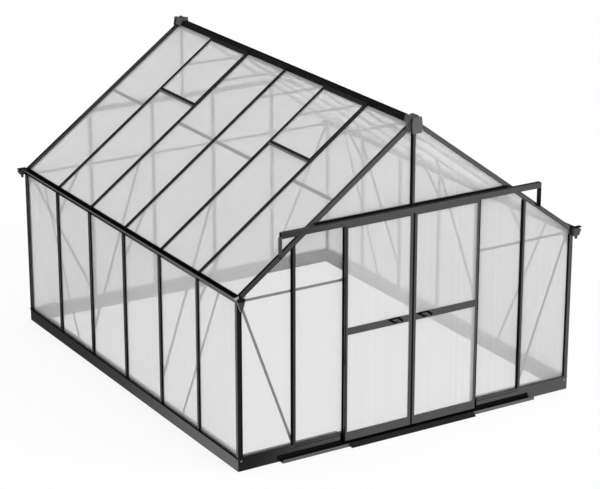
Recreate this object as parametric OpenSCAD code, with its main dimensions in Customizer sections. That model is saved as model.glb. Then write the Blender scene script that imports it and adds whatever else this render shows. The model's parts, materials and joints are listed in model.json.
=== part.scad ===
// Hobby greenhouse: an aluminium frame on a steel base, glazed with twin-wall polycarbonate.
// Millimetres. X runs across the gables, Y from the door gable to the back gable, Z up.
// The origin is on the ground under the middle of the whole outline.

/* [House] */
// Number of bays along each side wall and roof slope
side_bays = 6; // [6:1:8]
// Width of one side bay, from bar centre to bar centre
side_bay = 622; // [560:1:700]
// Number of bays across the back gable
back_bays = 5; // [3:2:7]
// Width over the outer faces of the side walls
house_w = 3151; // [2900:1:3500]
// Height where the outer faces of wall and roof meet
eave_h = 1417; // [1370:1:1700]
// Rise of the outer roof face from eave to ridge
roof_rise = 1154; // [1100:1:1300]

/* [Base] */
// Height of the steel base rails
base_h = 110; // [80:1:130]
// Width of the flanges of a base rail
base_flange = 60; // [50:1:90]
// Sheet thickness of a base rail
base_t = 3; // [2:0.5:5]

/* [Bars] */
// Depth of a glazing bar, from outer face to inner face
bar_d = 30; // [30:1:36]
// Width of the outer flange of a glazing bar
bar_face = 18; // [14:1:24]
// Width of the middle flange of a glazing bar, which lies on the outside of the sheets
bar_wing = 28; // [26:1:34]
// Width of the middle flange of a roof bar
roof_wing = 22; // [20:1:34]
// Depth of the outer flange of a roof bar under the outer roof face
roof_sink = 6; // [0:1:10]
// Width of the inner flange of a glazing bar
bar_foot = 16; // [14:1:24]
// Thickness of the stem of a glazing bar
bar_stem = 8; // [4:1:12]
// Thickness of the flanges of a glazing bar
flange_t = 3; // [2:0.5:4]
// Depth of the rafters of the gables, from outer face to inner face
rafter_d = 36; // [36:1:44]
// Height of the sill strip at the foot of the sheets
sill_h = 6; // [4:1:30]

/* [Sheets] */
// Thickness of the twin-wall sheets
sheet_t = 6; // [4:1:6]

/* [Eave gutter] */
// How far the gutter lip stands outside the wall
gutter_out = 16; // [12:1:30]
// Height of the gutter floor over the ground, below the eave height
gutter_drop = 12; // [8:1:36]
// Height of the outer gutter lip, from the underside of the floor
gutter_lip = 23; // [15:1:28]
// Depth below the gutter floor of the beam behind it
eave_beam_h = 40; // [25:1:45]
// Wall thickness of the gutter
gutter_t = 3; // [2:0.5:4]
// Reach of the gutter outlet outside the wall
outlet_out = 60; // [50:1:90]
// Reach of the floor of the gutter outlet outside the wall
outlet_foot = 40; // [34:1:50]
// Length of the gutter outlet beyond the gable
outlet_l = 30; // [20:1:34]
// Height of the front gutter outlet below the gutter floor
outlet_drop = 51; // [45:1:80]
// Height of the back gutter outlet below the gutter floor
outlet_drop_back = 32; // [28:1:80]
// Distance of the outlet spout outside the wall
spout_out = 19; // [15:1:22]
// Outer diameter of the outlet spout
spout_d = 24; // [18:1:26]
// Length of the outlet spout
spout_l = 26; // [15:1:50]

/* [Ridge] */
// Width of the ridge beam
ridge_w = 42; // [36:1:80]
// Height of the ridge beam
ridge_beam_h = 81; // [70:1:110]
// Height of the ridge beam top over the line where the roof faces meet
ridge_up = 7; // [1:1:15]
// Width of a ridge cap at its widest
cap_w = 94; // [88:1:110]
// Width of a ridge cap at its top and bottom
cap_end_w = 74; // [70:1:84]
// Height of a ridge cap
cap_h = 129; // [120:1:175]
// Height of the cap top over the ridge beam top
cap_up = 17; // [6:1:35]
// How far a cap stands in front of the gable
cap_out = 40; // [32:1:60]
// Thickness of the front plate of a cap
cap_plate = 13; // [8:1:20]
// How far the neck behind the front plate of a cap stands in from its outline
cap_neck_in = 14; // [8:1:20]
// How far a cap reaches back over the ridge beam
cap_back = 80; // [60:1:100]
// Depth of the groove along the cap top
cap_groove = 12; // [8:1:14]

/* [Gables] */
// Distance of each front post from the middle
front_post_x = 1075; // [1000:1:1120]
// Distance of each door jamb from the middle
jamb_x = 612; // [600:1:620]
// Distance from the middle at which the front base rails end
base_gap_x = 655; // [640:1:700]
// How far the foot of a jamb laps behind the end of a base rail
foot_lap = 15; // [10:1:30]
// Height of the threshold under the doorway
threshold_h = 32; // [28:1:34]
// Height of the transoms
transom_h = 42; // [36:1:50]
// Height of the transoms' top over the underside of the top track
transom_over = 58; // [50:1:90]

/* [Bracing] */
// Depth of the middle of the eave ties below the gutter floor
tie_drop = 28; // [10:1:60]
// Width of the flat tie and brace strips
strap_w = 22; // [15:1:30]
// Thickness of the flat tie and brace strips
strap_t = 3; // [2:0.5:4]
// Leg of a triangular corner plate
gusset = 110; // [80:1:140]
// Depth below the gutter floor of the wall ends of the short frame braces
short_foot = 218; // [150:1:300]
// Reach of the short frame braces from the wall
short_reach = 185; // [100:1:300]
// Height over the base of the wall ends of the long frame braces
long_foot = 238; // [150:1:400]
// Reach of the long frame braces from the wall
long_reach = 457; // [350:1:520]
// Depth of the middle of the collar ties below the ridge
collar_drop = 237; // [150:1:320]

/* [Roof vents] */
// Bays of each slope that hold a vent, counted from the door gable
vent_bays = [1, 4];
// Distance up the slope from the eave to a vent
vent_from = 1257; // [1100:1:1300]
// Distance up the slope from the eave to the cross strips
purlin_at = 1050; // [900:1:1090]
// Width of the cross strips
cross_w = 30; // [20:1:40]
// Width of a vent frame bar
vent_bar = 26; // [18:1:32]
// Width of the frame bars at the sides of a vent
vent_side = 9; // [8:1:20]
// Depth of a vent frame
vent_d = 12; // [10:1:12]
// Depth of a vent's outer face under the faces of the roof bars
vent_sink = 5; // [3:1:5]
// Gap between a vent and the roof bars
vent_gap = 2; // [1:0.5:4]
// Width of the fixed cross bar under a vent's lower edge
vent_sill = 30; // [24:1:40]
// How far the fixed cross bar shows below a vent
vent_lead = 10; // [6:1:16]

/* [Door track] */
// Length of the tracks beyond the outer edge of an open leaf
track_end = 16; // [10:1:40]
// Depth of the top track in front of the gable
track_d = 39; // [39:1:50]
// Height of the top track
track_h = 45; // [40:1:60]
// Height of the underside of the top track over the eave
track_over = 414; // [392:1:437]
// Wall thickness of the tracks
track_t = 3; // [2:0.5:3.5]
// Depth of the bottom track in front of the base
low_track_d = 46; // [44:1:60]
// Height of the front lip of the bottom track
low_track_h = 30; // [26:1:34]
// Horizontal run of the threshold ramp
ramp_run = 36; // [30:1:80]
// Half width of the threshold ramp
ramp_x = 593; // [560:1:600]

/* [Doors] */
// Width of one sliding leaf
leaf_w = 624; // [622:1:632]
// Half of the gap between the closed leaves
meet_gap = 5; // [5:0.5:8]
// Thickness of a leaf
leaf_t = 14; // [12:1:18]
// Gap between the gable and the back of a leaf
leaf_gap = 5.5; // [5.5:0.5:6]
// Height of the underside of a leaf
leaf_z = 37; // [37:1:60]
// Gap between a leaf and the top track
leaf_top_gap = 6; // [5:0.5:8]
// Width of a leaf stile
stile_w = 25; // [22:1:45]
// Height of the bottom rail of a leaf
low_rail_h = 75; // [60:1:100]
// Height of the middle rail of a leaf
mid_rail_h = 56; // [30:1:66]
// Height of the middle of the middle rail
mid_rail_z = 960; // [850:1:1100]
// Height of the top rail of a leaf
top_rail_h = 20; // [18:1:40]
// Thickness of the sheets in a leaf
leaf_sheet_t = 4; // [4:1:6]
// How far each leaf slides
leaf_travel = 560; // [500:1:580]
// Diameter of a hanger wheel
wheel_d = 24; // [20:1:26]
// Thickness of a hanger wheel
wheel_t = 8; // [6:1:9]
// Running gap under a wheel
wheel_gap = 0.3; // [0.2:0.1:0.5]
// Distance of the hangers and shoes from the edges of a leaf
hanger_in = 70; // [50:1:150]
// Width of a hanger plate
hanger_w = 40; // [30:1:60]
// Length of a handle
handle_l = 95; // [80:1:140]
// Reach of a handle in front of the leaf
handle_out = 60; // [40:1:60]
// Thickness of a handle's grip
handle_t = 9; // [8:1:14]
// Height of a handle's grip
handle_h = 12; // [10:1:24]
// Height of the middle of a handle over the middle of the middle rail
handle_up = 16; // [0:1:20]
// Distance of the middle of the left leaf's handle from the meeting edge
handle_in = 163; // [100:1:200]
// Distance of the middle of the right leaf's handle from the meeting edge
handle_in_right = 103; // [90:1:200]

/* [Hidden] */

// Plan: outer faces of the walls, and what stands outside them
half_w = house_w / 2;
house_l = side_bays * side_bay + bar_d;
front_reach = low_track_d + ramp_run;
back_reach = outlet_l;
front_y = (front_reach - back_reach - house_l) / 2;
back_y = front_y + house_l;

// Roof: pitch, and the height of a plane that lies some depth under the outer roof face
pitch = atan(roof_rise / half_w);
ridge_z = eave_h + roof_rise;
slope_l = roof_rise / sin(pitch);
function roof_z(x, depth) = ridge_z - abs(x) * tan(pitch) - depth / cos(pitch);

// Bars and sheets
sheet_in = bar_d - flange_t - sheet_t;
frame_grey = [0.16, 0.17, 0.18];
steel_grey = [0.12, 0.13, 0.14];
sheet_white = [0.82, 0.85, 0.86, 0.5];
plastic_black = [0.06, 0.06, 0.07];
cap_grey = [0.32, 0.33, 0.34];

// Gutter: heights, and the inner wall that the roof bars end at
gutter_z = eave_h - gutter_drop;
gutter_wall_in = bar_d / 2;
gutter_wall_top = roof_z(half_w - gutter_wall_in, 0);
roof_start_x = half_w - gutter_wall_in - gutter_t;
sheet_top = gutter_z - eave_beam_h;
tie_z = gutter_z - tie_drop;

// Gable: places of the posts
back_bay = (house_w - bar_d) / back_bays;
function back_post_x(i) = -house_w / 2 + bar_d / 2 + i * back_bay;
track_z = eave_h + track_over;
transom_top = track_z + transom_over;
transom_low = transom_top - transom_h;
ridge_beam_top = ridge_z + ridge_up;
ridge_beam_low = ridge_beam_top - ridge_beam_h;
cap_top = ridge_beam_top + cap_up;
cap_low = cap_top - cap_h;

// Doors: leaf planes measured from the front face of the gable
leaf_back_y = front_y - leaf_gap;
leaf_front_y = leaf_back_y - leaf_t;
leaf_mid_y = (leaf_back_y + leaf_front_y) / 2;
leaf_top = track_z - leaf_top_gap;
leaf_h = leaf_top - leaf_z;
track_x = meet_gap + leaf_w + leaf_travel + track_end;
track_slot = 5;
hanger_t = 3;
lip_top = track_z + track_t;
wheel_z = lip_top + wheel_gap + wheel_d / 2;
wheel_y = leaf_mid_y - hanger_t / 2 - track_slot - wheel_t;
axle_d = 8;
cut_gap = 0.05;
shoe_w = 60;
shoe_t = 10;
shoe_z = 9;
tip = 1;

// ---- Shapes that repeat ----

// Section of a glazing bar: outer face on y = 0, the inside towards +Y
module bar_section(wing, sink) {
    translate([-bar_face / 2, sink]) square([bar_face, flange_t]);
    translate([-bar_stem / 2, sink]) square([bar_stem, bar_d - sink]);
    translate([-wing / 2, sheet_in - flange_t]) square([wing, flange_t]);
    translate([-bar_foot / 2, bar_d - flange_t]) square([bar_foot, flange_t]);
}

// A glazing bar along +Z
module bar(length, wing = bar_wing, sink = 0) {
    linear_extrude(length) bar_section(wing, sink);
}

// The inside of the gable outline below a plane some depth under the roof face
module gable_area(depth) {
    polygon([[-half_w, 0], [half_w, 0], [half_w, roof_z(half_w, depth)],
             [0, roof_z(0, depth)], [-half_w, roof_z(half_w, depth)]]);
}

// Keeps what lies under the rafters of a gable whose bars start at y
module under_rafters(y) {
    intersection() {
        children();
        plate_y(y, bar_d) gable_area(rafter_d + cut_gap);
    }
}

// Turns a flat shape in X and Z into a plate, from y to y + thickness
module plate_y(y, thickness) {
    translate([0, y + thickness, 0]) rotate([90, 0, 0]) linear_extrude(thickness) children();
}

// Right-hand copy of a left-hand piece
module other_side() {
    mirror([1, 0, 0]) children();
}

// Piece given in the frame of the left slope: X inwards, Y along, Z up the slope from the eave
module on_slope() {
    translate([-half_w, 0, eave_h]) rotate([0, 90 - pitch, 0]) children();
}

// The point some distance beyond the end of the line from one point to another
function beyond(from, to, over) = to + over * (to - from) / norm(to - from);

// Flat strip between two points of a wall, given as [along, height]
module strap_shape(from, to, width) {
    run = to - from;
    translate(from) rotate(atan2(run[1], run[0])) translate([0, -width / 2])
        square([norm(run), width]);
}

// ---- Base ----

// Channel rail along +X with its web on the outer face, y = 0
module base_rail(length, trim_start, trim_end) {
    cube([length, base_t, base_h]);
    for (z = [0, base_h - base_t])
        translate([trim_start, 0, z]) cube([length - trim_start - trim_end, base_flange, base_t]);
}

module base_side() {
    color(steel_grey) translate([-half_w, back_y - base_t, 0]) rotate([0, 0, -90])
        base_rail(house_l - 2 * base_t, 0, 0);
}

module base_front_half() {
    color(steel_grey) translate([-half_w, front_y, 0])
        base_rail(half_w - base_gap_x, base_flange, 0);
}

module base_back() {
    color(steel_grey) translate([half_w, back_y, 0]) rotate([0, 0, 180])
        base_rail(house_w, base_flange, base_flange);
}

module threshold() {
    color(steel_grey) translate([-base_gap_x, front_y, 0])
        cube([2 * base_gap_x, base_flange, threshold_h]);
}

// ---- Walls ----

// Everything that the gutter and the beam behind it take up on the left, as a section in X and Z
module gutter_section() {
    beam_low = gutter_z - eave_beam_h;
    translate([-half_w + gutter_wall_in, beam_low]) square([bar_d - gutter_wall_in, eave_beam_h]);
    translate([-half_w - gutter_out, gutter_z - gutter_t])
        square([gutter_out + gutter_wall_in + gutter_t, gutter_t]);
    translate([-half_w - gutter_out, gutter_z - gutter_t]) square([gutter_t, gutter_lip]);
    translate([-half_w + gutter_wall_in, gutter_z - gutter_t])
        square([gutter_t, gutter_wall_top - gutter_z + gutter_t]);
}

module gutter_solid() {
    plate_y(front_y, house_l) gutter_section();
}

module gutter() {
    color(frame_grey) gutter_solid();
}

// Uprights of the left wall with the sill strips between them
module wall_bars() {
    post_top = gutter_z - gutter_t;
    color(frame_grey) difference() {
        union() {
            for (i = [1 : side_bays - 1])
                translate([-half_w, front_y + bar_d / 2 + i * side_bay, base_h])
                    rotate([0, 0, -90]) bar(post_top - base_h);
            for (y = [front_y, back_y - bar_d])
                translate([-half_w, y, base_h]) cube([bar_d, bar_d, post_top - base_h]);
            translate([-half_w + flange_t, front_y + bar_d, base_h])
                cube([sheet_in - flange_t, house_l - 2 * bar_d, sill_h]);
        }
        gutter_solid();
    }
}

// One sheet of a side wall between two uprights
module wall_sheets() {
    color(sheet_white)
        for (i = [0 : side_bays - 1]) {
            from = i == 0 ? front_y + bar_d : front_y + bar_d / 2 + i * side_bay + bar_stem / 2;
            to = i == side_bays - 1 ? back_y - bar_d
                : front_y + bar_d / 2 + (i + 1) * side_bay - bar_stem / 2;
            translate([-half_w + sheet_in, from, base_h]) cube([sheet_t, to - from, sheet_top - base_h]);
        }
}

// ---- Door gable ----

// Left post and left jamb, the foot under the jamb and the sill strips
module front_posts() {
    color(frame_grey) under_rafters(front_y) {
        translate([-front_post_x, front_y, base_h]) bar(ridge_z);
        translate([-half_w + bar_d, front_y + flange_t, base_h])
            cube([half_w - bar_d - jamb_x, sheet_in - flange_t, sill_h]);
        translate([-jamb_x, front_y, threshold_h]) bar(transom_low - threshold_h);
        jamb_foot();
    }
}

// Block beside the foot of the jamb, between the threshold and the sheet, and its lap behind the rail
module jamb_foot() {
    translate([-base_gap_x, front_y + bar_face, threshold_h])
        cube([base_gap_x - jamb_x, bar_d - bar_face, base_h - threshold_h + sill_h]);
    translate([-base_gap_x - foot_lap, front_y + base_t, threshold_h])
        cube([foot_lap, bar_d - base_t, base_h - base_t - threshold_h]);
}

// Solid transom between the rafters of the door gable, with the post from it to the ridge beam
module transom() {
    color(frame_grey) {
        under_rafters(front_y)
            translate([-half_w, front_y, transom_low]) cube([house_w, bar_d, transom_h]);
        translate([0, front_y, transom_top]) bar(ridge_beam_low - transom_top);
    }
}

// Copy at the back gable of a piece of the door gable
module at_back() {
    translate([0, front_y + back_y, 0]) mirror([0, 1, 0]) children();
}

// Sheets of the left half of the door gable
module front_sheets() {
    color(sheet_white) difference() {
        under_rafters(front_y) {
            translate([-half_w + bar_d, front_y + sheet_in, base_h])
                cube([half_w - bar_d - front_post_x - bar_stem / 2, sheet_t, ridge_z]);
            translate([-front_post_x + bar_stem / 2, front_y + sheet_in, base_h])
                cube([front_post_x - jamb_x - bar_stem, sheet_t, transom_low - base_h]);
        }
        jamb_foot();
    }
}

module front_sheets_top() {
    color(sheet_white) difference() {
        under_rafters(front_y)
            translate([-half_w, front_y + sheet_in, transom_top]) cube([house_w, sheet_t, roof_rise]);
        translate([-bar_stem / 2, front_y, transom_top]) cube([bar_stem, bar_d, roof_rise]);
        ridge_beam_solid();
    }
}

// ---- Back gable ----

module back_posts() {
    color(frame_grey) under_rafters(back_y - bar_d) {
        for (i = [1 : back_bays - 1])
            translate([back_post_x(i), back_y, base_h]) rotate([0, 0, 180])
                bar(transom_low - base_h);
        translate([-half_w + bar_d, back_y - sheet_in, base_h])
            cube([house_w - 2 * bar_d, sheet_in - flange_t, sill_h]);
    }
}

module back_sheets() {
    color(sheet_white) difference() {
        under_rafters(back_y - bar_d)
            translate([-half_w + bar_d, back_y - sheet_in - sheet_t, base_h])
                cube([house_w - 2 * bar_d, sheet_t, ridge_z]);
        for (i = [1 : back_bays - 1])
            translate([back_post_x(i) - bar_stem / 2, back_y - bar_d, base_h])
                cube([bar_stem, bar_d, transom_low - base_h]);
        plate_y(back_y - bar_d, bar_d) translate([-half_w, transom_low])
            square([house_w, transom_h]);
        translate([-bar_stem / 2, back_y - bar_d, transom_low]) cube([bar_stem, bar_d, ridge_z]);
        ridge_beam_solid();
    }
}

// ---- Roof ----

module ridge_beam_solid() {
    translate([-ridge_w / 2, front_y, ridge_beam_low]) cube([ridge_w, house_l, ridge_beam_h]);
}

module ridge_beam() {
    color(plastic_black) ridge_beam_solid();
}

// Keeps what lies between the gutter and the ridge beam on the left slope
module roof_trim() {
    difference() {
        intersection() {
            children();
            translate([-roof_start_x, front_y, 0])
                cube([roof_start_x - ridge_w / 2, house_l, cap_top]);
        }
        gutter_solid();
    }
}

// Solid rafters in both gables
module gable_rafters() {
    color(frame_grey) roof_trim()
        on_slope()
            for (y = [front_y, back_y - bar_d])
                translate([0, y, 0]) cube([rafter_d, bar_d, slope_l]);
}

module roof_bars() {
    color(frame_grey) roof_trim()
        on_slope()
            for (i = [1 : side_bays - 1])
                translate([0, front_y + bar_d / 2 + i * side_bay, 0]) rotate([0, 0, -90])
                    bar(slope_l, roof_wing, roof_sink);
}

function is_vent(i) = len([for (v = vent_bays) if (v == i) v]) > 0;
function bay_from(i) = i == 0 ? front_y + bar_d : front_y + bar_d / 2 + i * side_bay + bar_stem / 2;
function bay_to(i) =
    i == side_bays - 1 ? back_y - bar_d : front_y + bar_d / 2 + (i + 1) * side_bay - bar_stem / 2;

// Roof sheets, which end below the vents in the vent bays
module roof_sheets() {
    color(sheet_white) roof_trim()
        on_slope()
            for (i = [0 : side_bays - 1])
                translate([sheet_in, bay_from(i), 0])
                    cube([sheet_t, bay_to(i) - bay_from(i),
                          is_vent(i) ? vent_from - vent_lead : slope_l]);
}

// Thin strips across the bays without a vent, and a stepped bar under the lower edge of each vent
module cross_bars() {
    foot_in = (bar_foot - bar_stem) / 2;
    wing_in = (roof_wing - bar_stem) / 2;
    color(frame_grey) on_slope()
        for (i = [0 : side_bays - 1])
            if (is_vent(i)) {
                low = vent_from - vent_lead;
                width = bay_to(i) - bay_from(i) - 2 * wing_in;
                difference() {
                    translate([vent_sink, bay_from(i) + wing_in, low])
                        cube([bar_d - flange_t - vent_sink, width, vent_sill]);
                    translate([0, bay_from(i), vent_from]) cube([vent_low, side_bay, vent_sill]);
                }
            } else {
                from = bay_from(i) + (i == 0 ? 0 : foot_in);
                to = bay_to(i) - (i == side_bays - 1 ? 0 : foot_in);
                translate([bar_d - flange_t, from, purlin_at])
                    cube([flange_t, to - from, cross_w]);
            }
}

// ---- Vents ----

// Sides of a vent, which lies on the wings of the roof bars between their outer flanges
vent_low = vent_sink + vent_d;
vent_in = (bar_face - bar_stem) / 2 + vent_gap;
function vent_y(i) = bay_from(i) + vent_in;
function vent_w(i) = bay_to(i) - bay_from(i) - 2 * vent_in;
vent_light_l = slope_l - ridge_w - vent_from - 2 * vent_bar;

// Four frame bars of each vent, over a fixed cross bar
module vent_frames() {
    color(frame_grey) roof_trim()
        on_slope()
            for (i = vent_bays) difference() {
                translate([vent_sink, vent_y(i), vent_from])
                    cube([vent_d, vent_w(i), slope_l - vent_from]);
                translate([0, vent_y(i) + vent_side, vent_from + vent_bar])
                    cube([vent_low + tip, vent_w(i) - 2 * vent_side, vent_light_l]);
            }
}

module vent_sheets() {
    color(sheet_white) on_slope()
        for (i = vent_bays)
            translate([vent_low - sheet_t - tip, vent_y(i) + vent_side, vent_from + vent_bar])
                cube([sheet_t, vent_w(i) - 2 * vent_side, vent_light_l]);
}

// ---- Ridge caps ----

// Six-sided outline of a cap or of its neck, widest at half height
module cap_sides(inset) {
    end_x = cap_end_w / 2 - inset;
    polygon([[-end_x, cap_low + inset], [end_x, cap_low + inset],
             [cap_w / 2 - inset, (cap_low + cap_top) / 2], [end_x, cap_top - inset],
             [-end_x, cap_top - inset], [-cap_w / 2 + inset, (cap_low + cap_top) / 2]]);
}

// Front outline of a cap, with a groove along its top
module cap_outline() {
    difference() {
        cap_sides(0);
        polygon([[-cap_groove, cap_top + tip], [cap_groove, cap_top + tip],
                 [0, cap_top - cap_groove]]);
    }
}

module ridge_cap() {
    color(cap_grey) {
        plate_y(front_y - cap_out, cap_plate) cap_outline();
        plate_y(front_y - cap_out + cap_plate, cap_out - cap_plate) cap_sides(cap_neck_in);
        difference() {
            plate_y(front_y, cap_back) cap_outline();
            plate_y(front_y - tip, cap_back + 2 * tip) gable_area(0);
            ridge_beam_solid();
        }
    }
}

// ---- Gutter outlets ----

// Hollow end box beyond the gable with a spout in its floor, at the left of the door gable.
// Its back wall is open where the gutter runs in
module gutter_outlet(drop) {
    low = gutter_z - drop;
    spout_x = -half_w - spout_out;
    color(plastic_black) translate([0, front_y - outlet_l, 0]) difference() {
        union() {
            plate_y(0, outlet_l) outlet_outline(low, 0);
            translate([spout_x, outlet_l / 2, low - spout_l]) cylinder(d = spout_d, h = spout_l);
        }
        plate_y(gutter_t, outlet_l - 2 * gutter_t) outlet_outline(low, gutter_t);
        intersection() {
            plate_y(gutter_t, outlet_l) outlet_outline(low, gutter_t);
            translate([-half_w - gutter_out + gutter_t, 0, gutter_z])
                cube([gutter_out + gutter_wall_in, 2 * outlet_l, eave_h]);
        }
        translate([spout_x, outlet_l / 2, low - spout_l - tip])
            cylinder(d = spout_d - 2 * gutter_t, h = spout_l + gutter_t + 2 * tip);
    }
}

module outlet_outline(low, wall) {
    polygon([[-half_w + gutter_wall_in - wall, low + wall],
             [-half_w + gutter_wall_in - wall, gutter_wall_top - wall],
             [-half_w - outlet_out + 2 * wall, gutter_z - wall],
             [-half_w - outlet_foot + wall, low + wall]]);
}

// ---- Bracing ----

// Eave tie from the left corner to x = tie_end, in the plane at y inside a gable's bars, with a
// plate against the eave beam and the diagonal brace from it to the foot of a post
module gable_bracing(y, tie_end, post_x) {
    plate_x = -half_w + bar_d;
    plate_y(y, strap_t) strap_shape([plate_x, tie_z], [tie_end, tie_z], strap_w);
    plate_y(y, strap_t)
        polygon([[plate_x, gutter_z], [plate_x + gusset / 2, gutter_z],
                 [plate_x + gusset / 2, tie_z - strap_w / 2], [plate_x, tie_z - gusset]]);
    plate_y(y, strap_t)
        strap_shape([plate_x + strap_w / 2, tie_z], [post_x, base_h + sill_h], strap_w);
}

module bracing_front() {
    color(frame_grey) gable_bracing(front_y + bar_d, -jamb_x, -front_post_x);
}

module bracing_back() {
    color(frame_grey) for (side = [0, 1]) mirror([side, 0, 0])
        gable_bracing(back_y - bar_d - strap_t, 0, back_post_x(1));
}

// Two diagonal braces inside the left wall, from the eave beam down to the base
module bracing_side() {
    color(frame_grey) intersection() {
        translate([-half_w + bar_d, 0, 0]) rotate([90, 0, 90]) linear_extrude(strap_t) {
            strap_shape([front_y + bar_d / 2 + side_bay / 2, sheet_top],
                        [front_y + bar_d / 2 + 3 * side_bay / 2, base_h], strap_w);
            strap_shape([back_y - bar_d / 2 - side_bay / 2, sheet_top],
                        [back_y - bar_d / 2 - 3 * side_bay / 2, base_h], strap_w);
        }
        translate([-half_w, front_y, base_h]) cube([half_w, house_l, eave_h]);
    }
}

// Keeps what lies inside the bars of the walls and the roof, in the plane at y
module inside_bars(y) {
    inner_x = half_w - bar_d;
    intersection() {
        children();
        plate_y(y - strap_t, 2 * strap_t)
            polygon([[-inner_x, base_h], [inner_x, base_h], [inner_x, roof_z(inner_x, bar_d)],
                     [0, roof_z(0, bar_d)], [-inner_x, roof_z(inner_x, bar_d)]]);
    }
}

// Flat brace in the plane of each inner frame, from the left wall bar up to the roof bar: short
// ones, and long ones at the frames between a vent and the middle of the house
module frame_braces() {
    wall_x = -half_w + bar_d;
    color(frame_grey) for (i = [1 : side_bays - 1]) {
        long = i % 2 == 0;
        foot_z = long ? base_h + long_foot : gutter_z - short_foot;
        reach = long ? long_reach : short_reach;
        foot = [wall_x, foot_z];
        head = [wall_x + reach, roof_z(wall_x + reach, bar_d)];
        y = front_y + bar_d / 2 + i * side_bay;
        inside_bars(y)
            plate_y(y - strap_t / 2, strap_t)
                strap_shape(beyond(head, foot, strap_w), beyond(foot, head, strap_w), strap_w);
    }
}

// Flat ties between the two slopes near the ridge, one in each inner frame
module collar_ties() {
    collar_z = ridge_z - collar_drop;
    color(frame_grey) for (i = [1 : side_bays - 1]) {
        y = front_y + bar_d / 2 + i * side_bay;
        inside_bars(y)
            plate_y(y - strap_t / 2, strap_t)
                strap_shape([-front_post_x, collar_z], [front_post_x, collar_z], strap_w);
    }
}

// ---- Door tracks ----

// Section of the top track in Y and Z: a box open in a slot underneath, which the hangers pass
module top_track_section() {
    slot_back = leaf_mid_y + hanger_t / 2 + track_slot;
    slot_front = leaf_mid_y - hanger_t / 2 - track_slot;
    difference() {
        translate([front_y - track_d, track_z]) square([track_d, track_h]);
        translate([front_y - track_d + track_t, lip_top])
            square([track_d - 2 * track_t, track_h - 2 * track_t]);
        translate([slot_front, track_z - tip]) square([slot_back - slot_front, track_h / 2]);
    }
}

// Turns a flat shape in Y and Z into a bar along X, centred on x = 0
module bar_x(length) {
    translate([-length / 2, 0, 0]) rotate([90, 0, 90]) linear_extrude(length) children();
}

module door_track_top() {
    color(frame_grey) bar_x(2 * track_x) top_track_section();
}

// Angle stay under the left end of the top track, standing on the rafter
module track_stay() {
    foot = roof_z(track_x, 0);
    color(frame_grey) difference() {
        translate([-track_x, front_y - track_d, foot - strap_w])
            cube([track_t, track_d + bar_d / 2, track_z - foot + strap_w]);
        plate_y(front_y, bar_d) gable_area(0);
        translate([-track_x - tip, front_y, track_z - tip]) cube([2 * track_t, bar_d, track_h]);
    }
}

module door_track_bottom() {
    color(frame_grey) bar_x(2 * track_x) {
        translate([front_y - low_track_d, 0]) square([low_track_d, track_t]);
        for (y = [front_y - low_track_d, front_y - track_t])
            translate([y, 0]) square([track_t, low_track_h]);
    }
}

module threshold_ramp() {
    toe = front_y - low_track_d - ramp_run;
    color(frame_grey) bar_x(2 * ramp_x)
        polygon([[toe, 0], [toe + ramp_run, 0], [toe + ramp_run, low_track_h], [toe, track_t]]);
}

// ---- Doors: the left leaf, closed, with its meeting edge at x = -meet_gap ----

leaf_x = -meet_gap - leaf_w;

module leaf_frame() {
    color(frame_grey) {
        difference() {
            translate([leaf_x, leaf_front_y, leaf_z]) cube([leaf_w, leaf_t, leaf_h]);
            translate([leaf_x + stile_w, leaf_front_y - tip, leaf_z + low_rail_h])
                cube([leaf_w - 2 * stile_w, leaf_t + 2 * tip,
                      mid_rail_z - mid_rail_h / 2 - leaf_z - low_rail_h]);
            translate([leaf_x + stile_w, leaf_front_y - tip, mid_rail_z + mid_rail_h / 2])
                cube([leaf_w - 2 * stile_w, leaf_t + 2 * tip,
                      leaf_top - top_rail_h - mid_rail_z - mid_rail_h / 2]);
        }
        for (x = [leaf_x + hanger_in, leaf_x + leaf_w - hanger_in])
            translate([x - shoe_w / 2, leaf_mid_y - shoe_t / 2, shoe_z])
                cube([shoe_w, shoe_t, leaf_z - shoe_z]);
    }
}

module leaf_sheets() {
    low = leaf_z + low_rail_h;
    high = leaf_top - top_rail_h;
    color(sheet_white) translate([leaf_x + stile_w, leaf_mid_y - leaf_sheet_t / 2, 0]) {
        translate([0, 0, low])
            cube([leaf_w - 2 * stile_w, leaf_sheet_t, mid_rail_z - mid_rail_h / 2 - low]);
        translate([0, 0, mid_rail_z + mid_rail_h / 2])
            cube([leaf_w - 2 * stile_w, leaf_sheet_t, high - mid_rail_z - mid_rail_h / 2]);
    }
}

// Bow handle lying level on the middle rail, its middle some way in from the meeting edge
module leaf_handle(inset) {
    color(plastic_black)
        translate([-meet_gap - inset, leaf_front_y - handle_out, mid_rail_z + handle_up])
            difference() {
                translate([-handle_l / 2, 0, -handle_h / 2])
                    cube([handle_l, handle_out, handle_h]);
                translate([handle_t - handle_l / 2, handle_t, -handle_h])
                    cube([handle_l - 2 * handle_t, handle_out, 2 * handle_h]);
            }
}

// Plate on the leaf top with an axle and a wheel over the front lip of the track
module leaf_hangers() {
    color(plastic_black)
        for (x = [leaf_x + hanger_in, leaf_x + leaf_w - hanger_in]) translate([x, 0, 0]) {
            translate([-hanger_w / 2, leaf_mid_y - hanger_t / 2, leaf_top])
                cube([hanger_w, hanger_t, wheel_z + axle_d - leaf_top]);
            translate([0, leaf_mid_y, wheel_z]) rotate([90, 0, 0])
                cylinder(d = axle_d, h = leaf_mid_y - wheel_y);
            translate([0, wheel_y + wheel_t, wheel_z]) rotate([90, 0, 0])
                cylinder(d = wheel_d, h = wheel_t);
        }
}

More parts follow.
